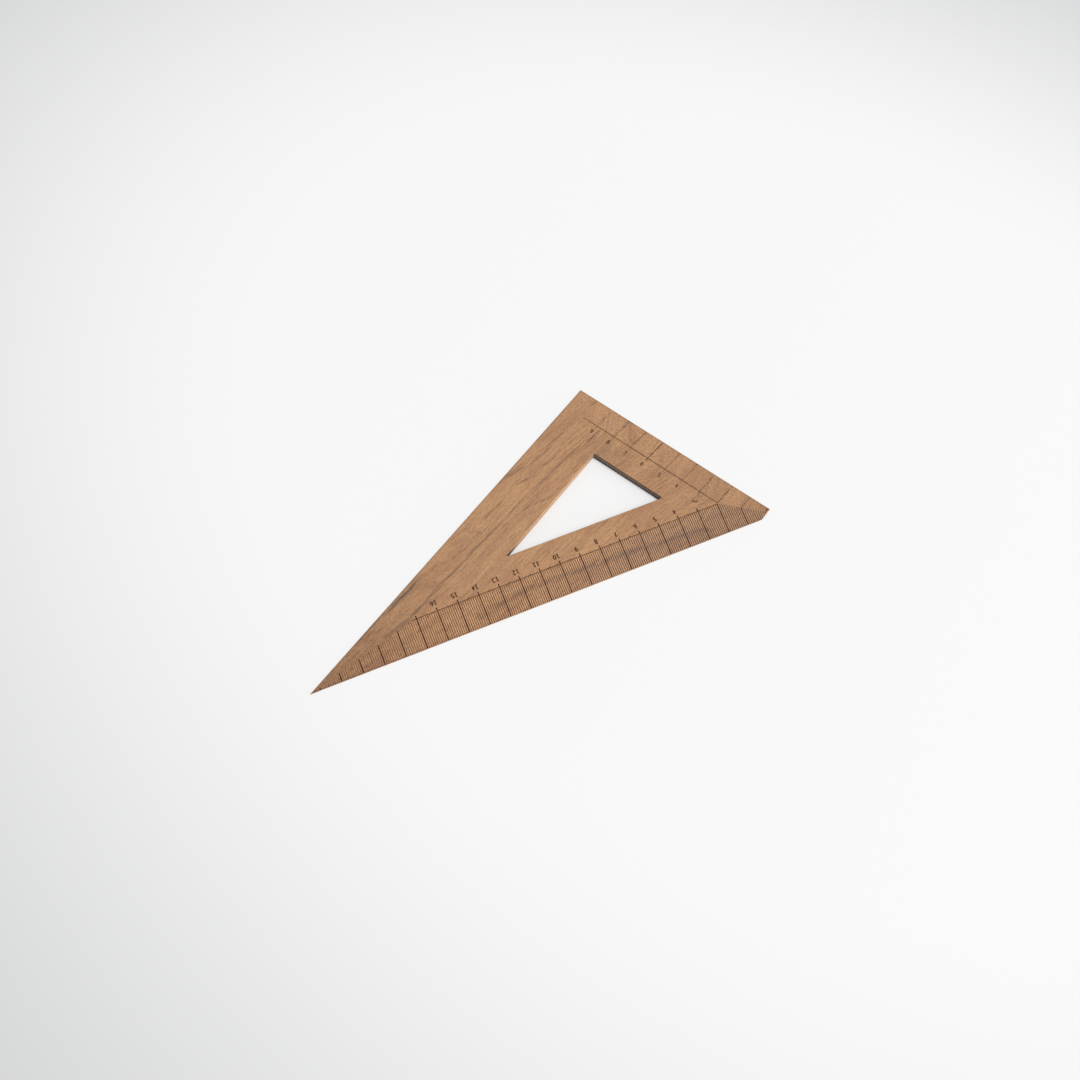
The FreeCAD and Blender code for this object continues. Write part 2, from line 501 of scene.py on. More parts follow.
# Patterns in the wood: what each follows, how long, wide and deep its lumps are in mm, and
# how much finer detail they carry. The face is straight across the fibres, the layers dip
# and wander and go right through the board, and the fibres wander without the dip.
THROUGH = 900
PATTERNS = {
    "slow drift": ("face", (60, 24, 24), 1.0),
    "short drift": ("face", (13, 3.5, 3.5), 2.0),
    "ragged edge": ("face", (2.2, 0.8, 0.8), 1.0),
    "bands": ("layers", (150, 6.0, THROUGH), 2.0),
    "patches": ("layers", (26, 7.0, THROUGH), 2.0),
    "streaks": ("layers", (44, 0.75, THROUGH), 2.0),
    "flecks": ("fibres", (11, 0.30, 0.30), 1.0),
    "fleck groups": ("fibres", (20, 6.0, 6.0), 1.0),
    "fibres": ("fibres", (14, 0.28, 0.28), 3.0),
    "pores": ("fibres", (1.0, 0.26, 0.26), 1.0),
    "mottle": ("fibres", (1.6, 0.42, 0.42), 2.0),
    "uneven lines": ("face", (9, 1.2, 1.2), 2.0),
    "smudges": ("face", (24, 15, 15), 2.0),
}
SCRATCH_LUMPS = (16, 0.2, 40)
SCRATCH_TURN = 0.7

# How far the layers drift from side to side, in mm, and how they dip and bend
SLOW_DRIFT = 7.0
SHORT_DRIFT = 1.4
RAGGED_EDGE = 0.8
LAYER_DIP = 2.0
BEND_START = 165.0
BEND_SLOPE = 0.22

# Masks: the value at which each begins, the value at which it is full, and its share then.
# Places along u, v and w and distances from an edge or a corner are in mm.
MASKS = {
    "bend": (-12.0, -30.0, 1.0),
    "bands": (0.34, 0.68, 1.0),
    "sapwood": (-10.0, 1.0, 0.75),
    "sapwood along the leg": (20.0, 110.0, 1.0),
    "planed": (25.0, 65.0, 1.0),
    "patches": (0.48, 0.72, 0.5),
    "streaks": (0.52, 0.76, 0.24),
    "fibres": (0.35, 0.70, 0.24),
    "fleck groups": (0.35, 0.60, 1.0),
    "flecks": (0.57, 0.72, 0.32),
    "pores": (0.58, 0.72, 0.30),
    "mottle": (0.36, 0.66, 0.22),
    "towards the sharp corner": (88.0, 8.0, 0.25),
    "towards the cut tip": (-72.0, -94.0, 0.15),
    "handled edge": (1.0, 0.1, 0.28),
    "short limb": (150.0, 172.0, 0.05),
    "uneven lines": (0.24, 0.62, 1.2),
    "greyed": (-38.0, -62.0, 0.22),
    "end grain": (0.45, 0.70, 1.0),
    "upper rim": (2.9, 3.6, 0.35),
    # Painted shadow along the foot of the window's short wall
    "painted shadow at the foot": (1.9, 1.1, 0.85),
    # Painted shade on the walls near the window's narrow corner
    "painted shade in the narrow corner": (9.5, 3.5, 0.95),
    "scratches": (0.70, 0.77, 0.16),
    "uneven burning": (0.34, 0.62, 1.0),
}
PLANED_SHARE = 0.34
PLANED_MORE_ON_SLANT = 0.12
SAWN_SHARE = 0.36

# A face is a wall when its normal's upright part is less than this
WALL_LIMIT = 0.5

# The wood's colours, as the inputs of the grain group and, in small letters, in BoardFinish
WOOD_COLOURS = (
    "Pale", "Body", "Sapwood", "Planed", "Ruddy", "Dark", "Line", "Greyed", "Sawn",
    "End grain", "Grime",
)

# Roughness: how much the darkened wood adds, and how far smudges move it. Height: how far
# a fleck lies under the fibres for its darkness.
DARK_ROUGHNESS = 0.25
SMUDGE_ROUGHNESS = 0.3
FLECK_DEPTH = 1.5


def growth_line_group():
    """One growth line: dark where the offset is small, fading at both ends.

    The cover falls smoothly from 1 on the line to 0 at half its width, and within a few
    mm of its first and last point.
    """
    group = new_group(
        "growth_line",
        [
            ("Offset", "NodeSocketFloat", 0.0),
            ("Along", "NodeSocketFloat", 0.0),
            ("From", "NodeSocketFloat", 0.0),
            ("To", "NodeSocketFloat", 1.0),
            ("Width", "NodeSocketFloat", 1.0),
            ("Cover", "NodeSocketFloat", 1.0),
        ],
        [("Cover", "NodeSocketFloat")],
    )
    inside = add_node(group, "NodeGroupInput").outputs
    outside = add_node(group, "NodeGroupOutput")
    away = maths(group, "ABSOLUTE", inside["Offset"])
    core = smooth_step(group, away, inside["Width"], 0.0, "core")
    past_start = maths(group, "SUBTRACT", inside["Along"], inside["From"])
    to_end = maths(group, "SUBTRACT", inside["To"], inside["Along"])
    room = maths(group, "MINIMUM", past_start, to_end)
    ends = smooth_step(group, room, 0.0, LINE_FADE, "ends")
    cover = combined(group, "MULTIPLY", [core, ends, inside["Cover"]])
    fill_inputs(group, outside, {"Cover": cover})


def bend_curve(node, places):
    """Gives a float curve node its points, at places from 0 to 1 both ways."""
    points = node.mapping.curves[0].points
    for index, (x, y) in enumerate(places):
        if index < len(points):
            points[index].location = (x, y)
        else:
            points.new(x, y)
    node.mapping.update()


def line_cover(group, wood, line):
    """How much one of the board's growth lines covers a point."""
    points, width, cover, (lowest, highest) = line
    points = np.array(points, dtype=float)
    low, high = points.min(axis=0), points.max(axis=0)
    spread = np.maximum(high - low, LEAST_SPREAD)
    share = maths(group, "SUBTRACT", wood.u, low[0])
    share = maths(group, "DIVIDE", share, spread[0])
    path = add_node(group, "ShaderNodeFloatCurve", "path", {"Value": share})
    bend_curve(path, (points - low) / spread)
    middle = maths(group, "MULTIPLY", path.outputs[0], spread[1])
    offset = maths(group, "SUBTRACT", wood.straight, low[1])
    offset = maths(group, "SUBTRACT", offset, middle)
    ends = {"Along": wood.u, "From": low[0], "To": high[0]}
    body = {"Offset": offset, "Width": width / 2, "Cover": cover}
    covered = group_node(group, "growth_line", ends | body)["Cover"]
    if (lowest, highest) == WHOLE:
        return covered
    above = maths(group, "GREATER_THAN", wood.w, lowest)
    below = maths(group, "LESS_THAN", wood.w, highest)
    return combined(group, "MULTIPLY", [covered, above, below])


class WoodPlace:
    """Where a point lies in the wood, as shader values.

    Object coordinates are turned so that u runs along the fibres from the 30 degree
    corner, v across them on the face and w up through the board, all in mm. The growth
    layers dip a little, so a planed margin cuts them at a slant. They wander, and bend
    round in the short limb. The plan distances to the slanted side and to the nearest
    leg are in mm too.
    """

    def __init__(self, group, finish):
        # The slanted side points 150 degrees round from +X at the 30 degree corner, so
        # the fibres point at 150 degrees plus their angle from that side
        self.group = group
        self.fibre_angle = math.pi - ACUTE + finish.grain_angle
        self.object = add_node(group, "ShaderNodeTexCoord").outputs["Object"]
        turn = {
            "Vector": self.object,
            "Location": (LONG_LEG, 0.0, 0.0),
            "Rotation": (0.0, 0.0, self.fibre_angle),
            "Scale": (MM, MM, MM),
        }
        node = add_node(group, "ShaderNodeMapping", "grain", turn, vector_type="TEXTURE")
        self.turned = node.outputs[0]
        self.u, self.v, self.w = separate(group, self.turned)

        depth = maths(group, "SUBTRACT", THICKNESS / MM, self.w)
        dip = maths(group, "MULTIPLY", depth, LAYER_DIP, "dip of the layers")
        self.layer = maths(group, "SUBTRACT", self.v, dip)
        self.across = {"face": self.v}
        ragged = self.swing("ragged edge", RAGGED_EDGE)
        past = maths(group, "MAXIMUM", maths(group, "SUBTRACT", self.u, BEND_START), 0.0)
        bend = maths(group, "MULTIPLY", past, BEND_SLOPE)
        bend = maths(group, "MULTIPLY", bend, mask(group, self.v, "bend"))
        slow = self.swing("slow drift", SLOW_DRIFT)
        drift = combined(group, "ADD", [slow, self.swing("short drift", SHORT_DRIFT), bend])
        self.across["layers"] = maths(group, "ADD", self.layer, drift)
        self.across["fibres"] = maths(group, "ADD", self.v, drift)
        self.straight = maths(group, "ADD", self.layer, ragged)
        self.measure_edges()

    def measure_edges(self):
        """Finds the plan distances to the edges, and which margin a point is on."""
        group = self.group
        x, y, _ = separate(group, self.object)
        inward = (-math.sin(ACUTE), -math.cos(ACUTE), 0.0)
        along_inward = vector_value(group, "DOT_PRODUCT", self.object, inward, "from the slant")
        to_slant = maths(group, "ADD", along_inward, LONG_LEG * math.sin(ACUTE))
        self.to_slant = maths(group, "DIVIDE", to_slant, MM)
        self.to_leg = maths(group, "DIVIDE", maths(group, "MINIMUM", x, y), MM)
        self.to_edge = maths(group, "MINIMUM", self.to_slant, self.to_leg)
        self.on_slant = maths(group, "LESS_THAN", self.to_slant, self.to_leg)
        self.on_slope = maths(group, "LESS_THAN", self.w, SLOPE[1], "planed margins")

    def pattern(self, name):
        """One of the wood's patterns at this point."""
        follows, lumps, detail = PATTERNS[name]
        place = (self.u, self.across[follows], self.w)
        return stretched_noise(self.group, place, lumps, detail, name)

    def patterned(self, name):
        """How much one of the patterns counts at this point, by the mask of its name."""
        return share_of(self.group, self.pattern(name), name)

    def swing(self, name, reach):
        """A pattern about its middle, spread over a reach in mm."""
        centred = maths(self.group, "SUBTRACT", self.pattern(name), 0.5)
        return maths(self.group, "MULTIPLY", centred, reach)


def ground_colour(group, wood, inside):
    """The wood's own colour: bands, sapwood, planed margins and redder patches."""
    bands = wood.patterned("bands")
    colour = mix_colours(group, bands, inside["Body"], inside["Pale"], "bands")
    along_leg = share_of(group, wood.u, "sapwood along the leg")
    sapwood = maths(group, "MULTIPLY", share_of(group, wood.layer, "sapwood"), along_leg)
    colour = mix_colours(group, sapwood, colour, inside["Sapwood"], "sapwood")
    most = maths(group, "MULTIPLY", wood.on_slant, PLANED_MORE_ON_SLANT)
    most = maths(group, "ADD", most, PLANED_SHARE)
    planed = combined(group, "MULTIPLY", [wood.on_slope, share_of(group, wood.u, "planed"), most])
    colour = mix_colours(group, planed, colour, inside["Planed"], "planed")
    patches = wood.patterned("patches")
    return mix_colours(group, patches, colour, inside["Ruddy"], "patches")


def greyed_colour(group, wood, inside, colour):
    """The slanted margin greys towards the 60 degree corner."""
    greyed = share_of(group, wood.v, "greyed")
    greyed = combined(group, "MULTIPLY", [greyed, wood.on_slope, wood.on_slant])
    return mix_colours(group, greyed, colour, inside["Greyed"], "greyed")


def wall_colours(group, wood, inside, colour):
    """Upright walls along the fibres take up little of the finish, faces cut across them drink
    more.

    The window's short wall is darker at its top rim and has a painted shadow along its foot.
    The walls take painted shade near the window's narrow corner.
    """
    normal = add_node(group, "ShaderNodeNewGeometry").outputs["True Normal"]
    upright = maths(group, "ABSOLUTE", separate(group, normal)[2])
    wall = maths(group, "LESS_THAN", upright, WALL_LIMIT)
    sawn = maths(group, "MULTIPLY", wall, SAWN_SHARE)
    colour = mix_colours(group, sawn, colour, inside["Sawn"], "sawn walls")
    fibres = (math.cos(wood.fibre_angle), math.sin(wood.fibre_angle), 0.0)
    facing = vector_value(group, "DOT_PRODUCT", normal, fibres, "cut across")
    cut_across = share_of(group, maths(group, "ABSOLUTE", facing), "end grain")
    colour = mix_colours(group, cut_across, colour, inside["End grain"], "end grain")
    # The short wall darkens at its top rim, and a painted shadow darkens its foot
    in_window = maths(group, "GREATER_THAN", wood.to_edge, BEVEL_WIDTH / MM)
    rims = [share_of(group, wood.w, "upper rim"), share_of(group, wood.w, "painted shadow at the foot")]
    rim_and_shadow = combined(group, "MULTIPLY", [combined(group, "ADD", rims), cut_across, in_window])
    colour = mix_colours(group, rim_and_shadow, colour, inside["Grime"], "dark rim and painted shadow")
    # Painted shade: the walls darken towards the window's narrow corner
    point = (*WINDOW_POINT, THICKNESS / 2)
    away = vector_value(group, "DISTANCE", wood.object, point, "from the corner")
    corner_shade = share_of(group, maths(group, "DIVIDE", away, MM), "painted shade in the narrow corner")
    corner_shade = maths(group, "MULTIPLY", corner_shade, wall)
    return mix_colours(group, corner_shade, colour, inside["End grain"], "painted shade in the narrow corner")


def grain_group(finish):
    """Solid wood: the same growth layers, fibres and pores on every face they reach."""
    colours = [
        (name, "NodeSocketColor", rgba(getattr(finish, name.lower().replace(" ", "_"))))
        for name in WOOD_COLOURS
    ]
    results = [
        ("Colour", "NodeSocketColor"),
        ("Roughness", "NodeSocketFloat"),
        ("Height", "NodeSocketFloat"),
    ]
    group = new_group("solid_grain", colours, results)
    inside = add_node(group, "NodeGroupInput").outputs
    outside = add_node(group, "NodeGroupOutput")
    wood = WoodPlace(group, finish)
    colour = ground_colour(group, wood, inside)

    # Everything that darkens the wood, added up
    fibres = wood.pattern("fibres")
    pores = wood.pattern("pores")
    fleck_groups = wood.patterned("fleck groups")
    flecks = wood.patterned("flecks")
    flecks = maths(group, "MULTIPLY", flecks, fleck_groups)
    darkening = [
        wood.patterned("streaks"),
        share_of(group, fibres, "fibres"),
        flecks,
        share_of(group, pores, "pores"),
        wood.patterned("mottle"),
        share_of(group, wood.u, "towards the sharp corner"),
        share_of(group, wood.v, "towards the cut tip"),
        share_of(group, wood.to_edge, "handled edge"),
        share_of(group, wood.u, "short limb"),
    ]
    darkened = maths(group, "MINIMUM", combined(group, "ADD", darkening), MOST_DARKENING)
    colour = mix_colours(group, darkened, colour, inside["Dark"], "darker parts")
    lines = [line_cover(group, wood, line) for line in GROWTH_LINES.values()]
    uneven = wood.patterned("uneven lines")
    lines = maths(group, "MULTIPLY", combined(group, "ADD", lines), uneven)
    lines = maths(group, "MINIMUM", lines, MOST_DARKENING)
    colour = mix_colours(group, lines, colour, inside["Line"], "growth lines")
    colour = greyed_colour(group, wood, inside, colour)
    colour = wall_colours(group, wood, inside, colour)

    # Wear: fine pale scratches askew to the fibres, and smudges from handling
    turn = {"Vector": wood.turned, "Rotation": (0.0, 0.0, SCRATCH_TURN)}
    askew = add_node(group, "ShaderNodeMapping", "askew", turn).outputs[0]
    place = separate(group, askew)
    scratches = stretched_noise(group, place, SCRATCH_LUMPS, 0.0, "scratches")
    worn = share_of(group, scratches, "scratches")
    colour = mix_colours(group, worn, colour, inside["Sawn"], "scratches")
    smudges = maths(group, "SUBTRACT", wood.pattern("smudges"), 0.5)

    rough = maths(group, "MULTIPLY", darkened, DARK_ROUGHNESS)
    smudged = maths(group, "MULTIPLY", smudges, SMUDGE_ROUGHNESS)
    rough = combined(group, "ADD", [rough, finish.roughness, smudged])
    height = maths(group, "SUBTRACT", fibres, mask(group, pores, "pores"))
    height = maths(group, "SUBTRACT", height, mask(group, scratches, "scratches"))
    height = maths(group, "SUBTRACT", height, maths(group, "MULTIPLY", flecks, FLECK_DEPTH))
    fill_inputs(group, outside, {"Colour": colour, "Roughness": rough, "Height": height})


# Materials

FIBRE_BUMP = 0.35
FIBRE_HEIGHT = 0.05 * MM
OIL_SHEEN = 0.15
CHAR_SHEEN = 0.2
CHAR_ROUGHNESS = 0.8
CHAR_PATCHES_PER_METRE = 420.0


def principled(name):
    """A new material and its node tree, Principled shader in place."""
    material = bpy.data.materials.new(name)
    material.use_nodes = True
    tree = material.node_tree
    return material, tree, tree.nodes["Principled BSDF"]


def wood_material():
    """Oiled wood on the grain group, with the fibres standing up a little."""
    material, tree, shader = principled("oiled_board")
    grain = group_node(tree, "solid_grain")
    relief = {"Strength": FIBRE_BUMP, "Distance": FIBRE_HEIGHT, "Height": grain["Height"]}
    look = {
        "Base Color": grain["Colour"],
        "Roughness": grain["Roughness"],
        "Normal": add_node(tree, "ShaderNodeBump", "raised fibres", relief).outputs[0],
        "Specular IOR Level": OIL_SHEEN,
    }
    fill_inputs(tree, shader, look)
    return material


def burnt_material(name, marks):
    """Burnt wood: the board's own colour under a burn that is weaker in patches."""
    if name in bpy.data.materials:
        return bpy.data.materials[name]
    most, patchiness = BURNS[name]
    material, tree, shader = principled(name)
    place = add_node(tree, "ShaderNodeTexCoord").outputs["Object"]
    lumps = {"Vector": place, "Scale": CHAR_PATCHES_PER_METRE, "Detail": 2.0}
    noise = add_node(tree, "ShaderNodeTexNoise", "uneven burning", lumps).outputs["Fac"]
    patches = mask(tree, noise, "uneven burning")
    charred = maths(tree, "MULTIPLY", patches, most * patchiness)
    charred = maths(tree, "ADD", charred, most * (1 - patchiness))
    strength = add_node(tree, "ShaderNodeAttribute", "strength", attribute_name=STRENGTH)
    charred = maths(tree, "MULTIPLY", charred, strength.outputs["Fac"])
    wood = group_node(tree, "solid_grain")["Colour"]
    look = {
        "Base Color": mix_colours(tree, charred, wood, rgba(marks.burn), "charred"),
        "Roughness": CHAR_ROUGHNESS,
        "Specular IOR Level": CHAR_SHEEN,
    }
    fill_inputs(tree, shader, look)
    return material


# Places on the board


class Margin:
    """One graduated margin, from the sharp 60 degree corner along its ruling edge.

    last_mm is its last line, crossing holds the first and last place in cm whose line
    may run on past the ridge, and numerals holds the first and last number.
    """

    def __init__(self, name, direction, inward, length, far_half_angle, zero):
        self.name = name
        self.corner = np.array([0.0, SHORT_LEG])
        self.direction = np.array(direction)
        self.inward = np.array(inward)
        self.length = length
        self.far_half_angle = far_half_angle
        self.zero = zero

    def point(self, along, inward):
        """Plan points at those distances along the edge and in from it."""
        along = np.asarray(along)[..., None]
        inward = np.asarray(inward)[..., None]
        return self.corner + along * self.direction + inward * self.inward

    def mitre_depth(self, along):
        """How far in the margin reaches before it meets the next margin's mitre."""
        near = along * math.tan(TIP_HALF_ANGLE)
        far = (self.length - along) * math.tan(self.far_half_angle)
        return np.minimum(near, far)

    def tip_depth(self, along):
        """Where the board starts, going in from the edge beside the cut tip."""
        if self.inward[1] == 0:
            return np.zeros_like(along)
        lost = self.corner[1] + along * self.direction[1] - TIP_Y
        return np.maximum(lost / -self.inward[1], 0.0)


class SlantMargin(Margin):
    """The slanted side's margin, from the 60 degree corner to the 30 degree one."""

    last_mm = 224
    crossing = (2.5, 17)
    numerals = (4, 16)

    def __init__(self, marks):
        direction = (math.cos(ACUTE), -math.sin(ACUTE))
        inward = (-math.sin(ACUTE), -math.cos(ACUTE))
        super().__init__("slant", direction, inward, SLANT, ACUTE / 2, marks.slant_zero)


class ShortMargin(Margin):
    """The short leg's margin, from the 60 degree corner to the square one."""

    last_mm = 109
    crossing = (2.5, 9)
    numerals = (4, 9)

    def __init__(self, marks):
        inward = (1.0, 0.0)
        zero = marks.short_zero
        super().__init__("short_leg", (0.0, -1.0), inward, SHORT_LEG, math.pi / 4, zero)


def surface_height(plan):
    """Height of the marked face: the flat, or the lowest margin slope over that point.

    A slope rises from the edge height at the ruling edge to the full thickness at the
    bevel's width, in a straight line with the distance from the edge.
    """
    x, y = plan[..., 0], plan[..., 1]
    to_slant = (LONG_LEG - x) * math.sin(ACUTE) - y * math.cos(ACUTE)
    nearest = np.minimum(np.minimum(x, y), to_slant)
    slope = (THICKNESS - EDGE_HEIGHT) / BEVEL_WIDTH
    return np.minimum(EDGE_HEIGHT + slope * nearest, THICKNESS)


# Mesh building


def close_ends(mesh):
    """Caps every open end and turns all faces outwards."""
    solid = bmesh.new()
    solid.from_mesh(mesh)
    rims = [edge for edge in solid.edges if edge.is_boundary]
    bmesh.ops.holes_fill(solid, edges=rims, sides=0)
    bmesh.ops.recalc_face_normals(solid, faces=solid.faces)
    solid.to_mesh(mesh)
    solid.free()


def tube_faces(runs, stations, corners):
    """Quads round many tubes at once: corner k of station j joins the next of both."""
    run = np.arange(runs)[:, None, None] * stations * corners
    station = np.arange(stations - 1)[None, :, None] * corners
    corner = np.arange(corners)[None, None, :]
    following = (corner + 1) % corners
    first = run + station
    return np.stack(
        [
            first + corner,
            first + following,
            first + corners + following,
            first + corners + corner,
        ],
        axis=-1,
    ).reshape(-1, 4)


def new_piece(name, vertices, material, strength):
    """Makes a mesh object from whole arrays and lets it ride on the board.

    strength says for each station of each mark how deep it is burnt.
    """
    faces = tube_faces(*vertices.shape[:3])
    mesh = bpy.data.meshes.new(name)
    mesh.from_pydata(vertices.reshape(-1, 3), [], faces)
    mesh.validate()
    mesh.materials.append(material)
    piece = bpy.data.objects.new(name, mesh)
    bpy.context.scene.collection.objects.link(piece)
    close_ends(mesh)
    per_vertex = np.broadcast_to(strength[..., None], vertices.shape[:-1])
    layer = mesh.attributes.new(STRENGTH, "FLOAT", "POINT")
    layer.data.foreach_set("value", per_vertex.astype(np.float32).ravel())
    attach(piece, BODY)
    return piece


def marks_along(paths, widths, lift=0.0):
    """Thin flat marks on the board, one for each path, as tube vertices.

    A mark's section is a rectangle: half its width to each side of the path, square to
    it in plan, from a little under the surface to a little above it. paths is
    (marks, stations, 2) in plan and widths (marks, stations).
    """
    steps = np.gradient(paths, axis=1)
    steps /= np.linalg.norm(steps, axis=-1, keepdims=True)
    sideways = np.stack([-steps[..., 1], steps[..., 0]], axis=-1)
    sides = np.array([-0.5, 0.5, 0.5, -0.5])
    offsets = np.array([-MARK_SINK, -MARK_SINK, MARK_RISE, MARK_RISE])
    reach = sides[None, None, :, None] * widths[..., None, None]
    plan = paths[:, :, None, :] + sideways[:, :, None, :] * reach
    height = surface_height(plan) + offsets + lift
    return np.concatenate([plan, height[..., None]], axis=-1)


def build_lines(name, margin, along, start, end, width, material, strength):
    """Straight marks across a margin, one at each distance along the edge.

    The stations are the start, a rounded shoulder, the ridge if the mark crosses it,
    another shoulder and the end, so that a mark bends with the surface. strength holds
    how deep each mark is burnt at the edge and at the ridge.
    """
    shoulder = width / 3
    ridge = np.clip(BEVEL_WIDTH, start + 2 * shoulder, end - 2 * shoulder)
    depths = np.stack([start, start + shoulder, ridge, end - shoulder, end], axis=1)
    widths = np.broadcast_to(width * LINE_TAPER, depths.shape)
    paths = margin.point(along[:, None], depths)
    stations = strength[:, [0, 0, 1, 1, 1]]
    return new_piece(name, marks_along(paths, widths), material, stations)


def scale_lines(margin, marks, strong, fine, strengths):
    """All the lines of one scale: millimetres, half centimetres and centimetres.

    strengths holds how deep each millimetre's line is burnt, at the edge and the ridge.
    """
    count = np.arange(margin.last_mm + 1)
    along = margin.zero + count * MM
    start = margin.tip_depth(along - marks.centimetre_width / 2) + EDGE_GAP
    limit = np.minimum(margin.mitre_depth(along), BEVEL_WIDTH)
    whole = count % 10 == 0
    half = count % 10 == 5
    first, last = margin.crossing
    passes = (count >= first * 10) & (count <= last * 10)
    reach = np.where(whole, marks.centimetre_reach, marks.half_reach)
    end = np.where(passes & (whole | half), BEVEL_WIDTH + reach, limit)
    fits = end - start > SHORTEST_LINE
    kinds = [
        ("millimetre_lines", ~whole & ~half, marks.millimetre_width, fine),
        ("half_centimetre_lines", half, marks.millimetre_width, fine),
        ("centimetre_lines", whole, marks.centimetre_width, strong),
    ]
    for kind, chosen, width, material in kinds:
        pick = chosen & fits
        name = f"{margin.name}_{kind}"
        places = (along[pick], start[pick], end[pick])
        build_lines(name, margin, *places, width, material, strengths[pick])


def ramp(count, first, last):
    """0 up to the first count, 1 from the last one on, and an even rise between."""
    return np.clip((count - first) / (last - first), 0, 1)


def slant_strengths(last_mm):
    """Depths of burn on the slanted scale, more uneven towards the 30 degree corner."""
    chance = np.random.default_rng(11)
    count = np.arange(last_mm + 1)
    uneven = UNEVEN_AT_FIRST + UNEVEN_LATER * ramp(count, *UNEVEN_BETWEEN)
    faded = FADED_LATER * ramp(count, *FADED_BETWEEN)
    burns = 1 - faded[:, None] - uneven[:, None] * chance.random((last_mm + 1, 2))
    burns[::10] = 1.0
    return burns


def short_strengths(last_mm):
    """Depths of burn on the short scale, line by line for the centimetres."""
    burns = np.ones((last_mm + 1, 2))
    for centimetre, pair in SHORT_SCALE_BURNS.items():
        burns[centimetre * 10] = pair
    return burns


def ridge_line(margin, marks, material):
    """The line along the top of a planed margin, and on past its far mitre.

    It starts where its inner side meets the near mitre. Past the far mitre it follows
    the next margin's slope, with one more station near the bend.
    """
    inner = BEVEL_WIDTH + marks.ridge_width
    near = inner / math.tan(TIP_HALF_ANGLE)
    far = margin.length - inner / math.tan(margin.far_half_angle)
    past = far + OVERRUN_STATIONS * marks.ridge_overrun
    along = np.concatenate([[near], past])[None, :]
    inset = np.full_like(along, BEVEL_WIDTH + marks.ridge_width / 2)
    widths = np.full_like(along, marks.ridge_width)
    vertices = marks_along(margin.point(along, inset), widths, STROKE_STEP)
    strength = np.full_like(along, RIDGE_BURN)
    name = f"{margin.name}_ridge_line"
    return new_piece(name, vertices, material, strength)


# Numerals, drawn from strokes in a cell one unit high

STROKE_STATIONS = 28
DIGIT_PITCH = 0.64
STROKE_WIDTH = 0.21
CAP_NARROWING = 0.85


def arc(x, y, across, up, start, end):
    """Part of an ellipse about (x, y), from one angle to another, in degrees."""
    angles = np.radians(np.linspace(start, end, STROKE_STATIONS))
    return np.stack([x + across * np.cos(angles), y + up * np.sin(angles)], axis=1)


def bar(x0, y0, x1, y1):
    """A straight stroke from one point to another."""
    share = np.linspace(0, 1, STROKE_STATIONS)[:, None]
    return (1 - share) * np.array([x0, y0]) + share * np.array([x1, y1])


def half_turned(strokes):
    """The strokes turned half round about the middle of their cell."""
    return [np.array([0.0, 1.0]) - stroke for stroke in strokes]


SIX = [arc(0, 0.32, 0.2, 0.23, 90, 450), arc(0.24, 0.32, 0.44, 0.58, 104, 182)]
DIGITS = {
    "0": [arc(0, 0.5, 0.2, 0.41, 90, 450)],
    "1": [
        bar(0.03, 0.91, 0.03, 0.09),
        bar(0.03, 0.91, -0.16, 0.76),
        bar(-0.17, 0.09, 0.22, 0.09),
    ],
    "2": [
        arc(0, 0.68, 0.19, 0.23, 165, -38),
        bar(0.15, 0.54, -0.19, 0.11),
        bar(-0.2, 0.09, 0.21, 0.09),
    ],
    "3": [arc(-0.01, 0.71, 0.18, 0.2, 150, -88), arc(-0.01, 0.31, 0.2, 0.22, 90, -150)],
    "4": [
        bar(0.08, 0.09, 0.08, 0.91),
        bar(0.08, 0.91, -0.21, 0.34),
        bar(-0.21, 0.34, 0.22, 0.34),
    ],
    "5": [
        bar(0.17, 0.91, -0.14, 0.91),
        bar(-0.14, 0.91, -0.16, 0.53),
        arc(-0.01, 0.33, 0.2, 0.24, 132, -148),
    ],
    "6": SIX,
    "7": [bar(-0.19, 0.91, 0.2, 0.91), bar(0.2, 0.91, -0.05, 0.09)],
    "8": [arc(0, 0.71, 0.165, 0.2, 270, -90), arc(0, 0.3, 0.2, 0.21, 90, 450)],
    "9": half_turned(SIX),
}


def numeral_strokes(text):
    """All strokes of a number, its digits side by side about the middle."""
    middle = (len(text) - 1) / 2
    strokes = []
    for index, digit in enumerate(text):
        shift = np.array([(index - middle) * DIGIT_PITCH, 0.0])
        strokes += [stroke + shift for stroke in DIGITS[digit]]
    return strokes


def stamp(name, labels, height, material, strength):
    """Numerals as flat strokes with round ends, each stroke a hair above the last.

    labels holds, for each number, its text, the plan point at the middle of its base,
    and the plan direction that is up for it. strength says how deep they are burnt. A
    stroke narrows over its last half width, as a half circle does.
    """
    paths = []
    lifts = []
    for text, base, up in labels:
        up = np.array(up)
        right = np.array([up[1], -up[0]])
        for order, stroke in enumerate(numeral_strokes(text)):
            paths.append(base + height * (stroke[:, :1] * right + stroke[:, 1:] * up))
            lifts.append(order * STROKE_STEP)
    paths = np.array(paths)
    lifts = np.array(lifts)[:, None, None]
    travelled = np.linspace(0, 1, STROKE_STATIONS)
    lengths = np.linalg.norm(np.diff(paths, axis=1), axis=2).sum(axis=1)[:, None]
    to_end = np.minimum(travelled, 1 - travelled) * lengths
    half = height * STROKE_WIDTH / 2
    inside_cap = np.clip(1 - to_end / half, 0, 1)
    widths = 2 * half * np.sqrt(1 - CAP_NARROWING * inside_cap**2)
    rise = travelled[None, :, None] * STROKE_STEP / 2
    vertices = marks_along(paths, widths, lifts + rise)
    burns = np.full(widths.shape, strength)
    return new_piece(name, vertices, material, burns)


def scale_numerals(margin, marks, material, strength):
    """Numbers under their centimetre lines, heads towards the ruling edge."""
    height = marks.numeral_height
    depth = BEVEL_WIDTH + marks.numeral_gap + height
    first, last = margin.numerals
    labels = []
    for number in range(first, last + 1):
        along = margin.zero + number * 10 * MM + marks.numeral_shift
        labels.append((str(number), margin.point(along, depth), -margin.inward))
    return stamp(f"{margin.name}_numerals", labels, height, material, strength)


